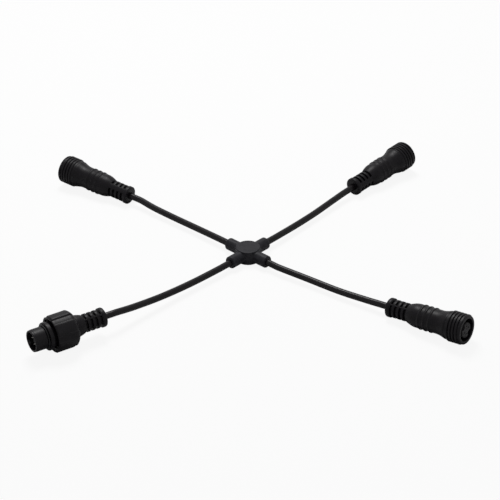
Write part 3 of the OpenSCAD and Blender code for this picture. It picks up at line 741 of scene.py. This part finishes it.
# Pins with a thick tail in the boot and a rounded tip inside the nose.
pins = {
    "tail": 0.8, "tailStart": 28.6, "tailEnd": 32.55, "pin": 0.5, "pinEnd": 44.1,
    "tip": 0.225, "tipEnd": 44.6, "steps": 32, "roll": 73, "shade": 35,
    "outline": ((0, "tailStart", 0), ("tail", "tailStart", 0.15), ("tail", "tailEnd", 0.15),
                ("pin", "tailEnd", 0), ("pin", "pinEnd", 0.4), ("tip", "tipEnd", 0.15), (0, "tipEnd", 0)),
}


def makePins():
    one = lathe("plugPins", eased(outline(pins)), pins["steps"])
    spots = contactSpots()
    row = [one] + [twin(one, "plugPin") for spot in spots[1:]]
    for pin, (x, y) in zip(row, spots):
        pin.location = (x, y, 0)
    fixPlace(join(row))
    rollBy(one, pins["roll"])
    return smooth(one, pins["shade"])


# Sealing ring between the flange and the nose, with the flash line of its mould.
seal = {"middle": 6.75, "section": 0.46, "height": 37.9, "flash": 0.03, "sides": 32, "shade": 60}


def makeSeal():
    line = []
    for k in range(seal["sides"] + 1):
        turn = math.tau * k / seal["sides"]
        r = seal["section"] + (0 if k % (seal["sides"] // 2) else seal["flash"])
        line.append(Vector((seal["middle"] + r * math.cos(turn), seal["height"] + r * math.sin(turn))))
    return smooth(lathe("sealingRing", line), seal["shade"])


# Coupling nut: a round cap with six grip ribs, an inner lip and an inner thread. The ribs are
# raised from the outside only: beyond the inside radius at the rear, and the wall's in front.
nut = {
    "start": 19.5, "end": 33.7, "body": 10.2, "bodyEnd": 32.9, "rear": 8.2, "round": 3.0, "roundSteps": 14,
    "recess": 7.9, "lipStart": 21.6, "lip": 7.05, "lipEnd": 23.2, "washer": 8.2, "washerEnd": 24.2,
    "boreStart": 25.4, "threadStart": 25.0, "minor": 8.55, "major": 9.15, "pitch": 2.0, "turns": 3.3,
    "fade": 50, "sunk": 9.4, "steps": 216, "edge": 0.16, "sharp": 33, "shade": 32,
    "ribs": 6, "rib": 10.9, "ribWide": 38, "ribTurn": 48, "ribSlope": 3.4, "inside": 8.25, "wall": 9.3,
    "ribStart": 20.0, "ribRise": 1.8, "ribEnd": 33.6, "ribFall": 0.6,
    "tooth": (("major", 0.2, -0.1), ("major", 0, 0.05), ("minor", 0, 0.62), ("minor", 0, 1.08),
              ("major", 0, 1.65), ("major", 0.2, 1.8)),
    "rearOutline": (("recess", "lipStart", 0), ("recess", "start", 0.15), ("rear", "start", 0)),
    "outline": (("body", "bodyEnd", 0), ("body", "end", 0.4), ("major", "end", 0.2),
                ("major", "boreStart", 0), ("washer", "washerEnd", 0), ("washer", "lipEnd", 0),
                ("lip", "lipEnd", 0.15), ("lip", "lipStart", 0.15), ("recess", "lipStart", 0)),
}


def raiseRibs(body):  # with sloping sides and ends
    shape, gap = nut, 360 / nut["ribs"]
    for vertex in body.data.vertices:
        r, z = Vector(vertex.co[:2]).length, vertex.co.z
        if r < shape["inside"] or (r < shape["wall"] and z > shape["start"] + shape["round"]):
            continue
        turn = math.degrees(math.atan2(vertex.co.y, vertex.co.x)) - shape["ribTurn"] + gap / 2
        side = shape["ribWide"] / 2 + shape["ribSlope"] / 2 - abs(turn % gap - gap / 2)
        share = min(side / shape["ribSlope"], (z - shape["ribStart"]) / shape["ribRise"],
                    (shape["ribEnd"] - z) / shape["ribFall"], 1)
        grow = 1 + max(share, 0) * (shape["rib"] - shape["body"]) / r
        vertex.co.x *= grow
        vertex.co.y *= grow


def makeNut():
    shape, corners = nut, outline(nut, "rearOutline")
    for k in range(1, shape["roundSteps"] + 1):
        part = math.pi / 2 * k / shape["roundSteps"]
        corners.append((shape["rear"] + (shape["body"] - shape["rear"]) * math.sin(part),
                        shape["start"] + shape["round"] * (1 - math.cos(part)), 0))
    body = lathe("couplingNut", eased(corners + outline(shape)), shape["steps"])
    raiseRibs(body)
    bevel(body, shape["edge"], shape["sharp"], 2)
    return smooth(join([body, helix("nutThread", shape)]), shape["shade"])


plugPieces = [
    (makePlugBoot(), "plug_boot", softBlack, "moulded_black", "lead"),
    (makePlugShell(), "plug_shell", hardBlack, "hard_black", "lead"),
    (makePlugInsert(), "plug_insert", shadedPinHolder, "insert_grey", "lead"),
    (makePins(), "plug_pins", pinTinShaded, "brass", "lead"),
    (makeSeal(), "sealing_ring", sealBlack, "seal", "lead"),
    (makeNut(), "coupling_nut", hardBlack, "hard_black", "nut"),
]
for piece, node, finish, slot, body in plugPieces:
    settle(piece, seatMatrix(seats["plug"]))
    dress(piece, finish)
    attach(piece, body)
    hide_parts(node)
ends["plug"] = [piece for piece, node, finish, slot, body in plugPieces if body == "lead"]
print("stage: plug and nut")

# What stays as packed: contacts, wires, the core with its splices and the washer.
hidden = {
    "contacts": brass, "wires": wireRed, "splice_sleeves": brass, "junction_core": insertBlack,
    "slip_washer": sealBlack,
}
for name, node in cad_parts.items():
    for ending, finish in hidden.items():
        if name.endswith(ending):
            dress(node, finish)

studio = {
    "world": 0.2,
    "floor": {"Base Color": (0.8, 0.8, 0.8, 1), "Roughness": 0.9, "Specular IOR Level": 0.1},
    "floorWide": 8, "floorHeight": -0.0002, "floorGlow": 0.9,
    "keyLamp": {"at": (-0.09, 0.44, 0.9), "aim": (0, 0, 0), "size": 0.4, "power": 8.0},
    "fillLamp": {"at": (0.35, -0.9, 0.75), "aim": (0, 0, 0), "size": 0.5, "power": 0.8},
}


def seenDirectly(tree):  # 1 for the camera and for what metal and gloss mirror
    path = tree.nodes.new("ShaderNodeLightPath")
    total = path.outputs["Is Camera Ray"]
    for ray in ("Is Glossy Ray", "Is Transmission Ray"):
        most = tree.nodes.new("ShaderNodeMath")
        most.operation = "MAXIMUM"
        tree.links.new(total, most.inputs[0])
        tree.links.new(path.outputs[ray], most.inputs[1])
        total = most.outputs["Value"]
    return total


def mixInto(tree, end, share, first, second):  # the second shader where share is 1
    mix = tree.nodes.new("ShaderNodeMixShader")
    tree.links.new(share, mix.inputs["Fac"])
    tree.links.new(first, mix.inputs[1])
    tree.links.new(second, mix.inputs[2])
    tree.links.new(mix.outputs["Shader"], tree.nodes[end].inputs["Surface"])


def layFloor():
    dropAll()
    bpy.ops.mesh.primitive_plane_add(size=studio["floorWide"], location=(0, 0, studio["floorHeight"]))
    floor = bpy.context.object
    floor.name = "paleFloor"
    made, tree, shader = material("paleFloor", studio["floor"])
    glow = tree.nodes.new("ShaderNodeEmission")
    path = tree.nodes.new("ShaderNodeLightPath")
    share = tree.nodes.new("ShaderNodeMath")
    share.operation = "MULTIPLY"
    share.inputs[1].default_value = studio["floorGlow"]
    tree.links.new(path.outputs["Is Camera Ray"], share.inputs[0])
    mixInto(tree, "Material Output", share.outputs["Value"], shader.outputs["BSDF"],
            glow.outputs["Emission"])
    dress(floor, made)


def lightWorld():
    world = bpy.data.worlds.new("studioWorld")
    scene.world = world
    world.use_nodes = True
    tree = world.node_tree
    soft = tree.nodes["Background"]
    soft.inputs["Strength"].default_value = studio["world"]
    soft.inputs["Color"].default_value = (1, 1, 1, 1)
    pale = tree.nodes.new("ShaderNodeBackground")
    mixInto(tree, "World Output", seenDirectly(tree), soft.outputs["Background"],
            pale.outputs["Background"])


def hangLamp(name):
    lamp = studio[name]
    bpy.ops.object.light_add(type="AREA", location=lamp["at"])
    light = bpy.context.object
    light.name = name
    turnTo(light, lamp["at"], lamp["aim"])
    light.data.size = lamp["size"]
    light.data.energy = lamp["power"]


layFloor()
lightWorld()
hangLamp("keyLamp")
hangLamp("fillLamp")
print("stage: light and floor")
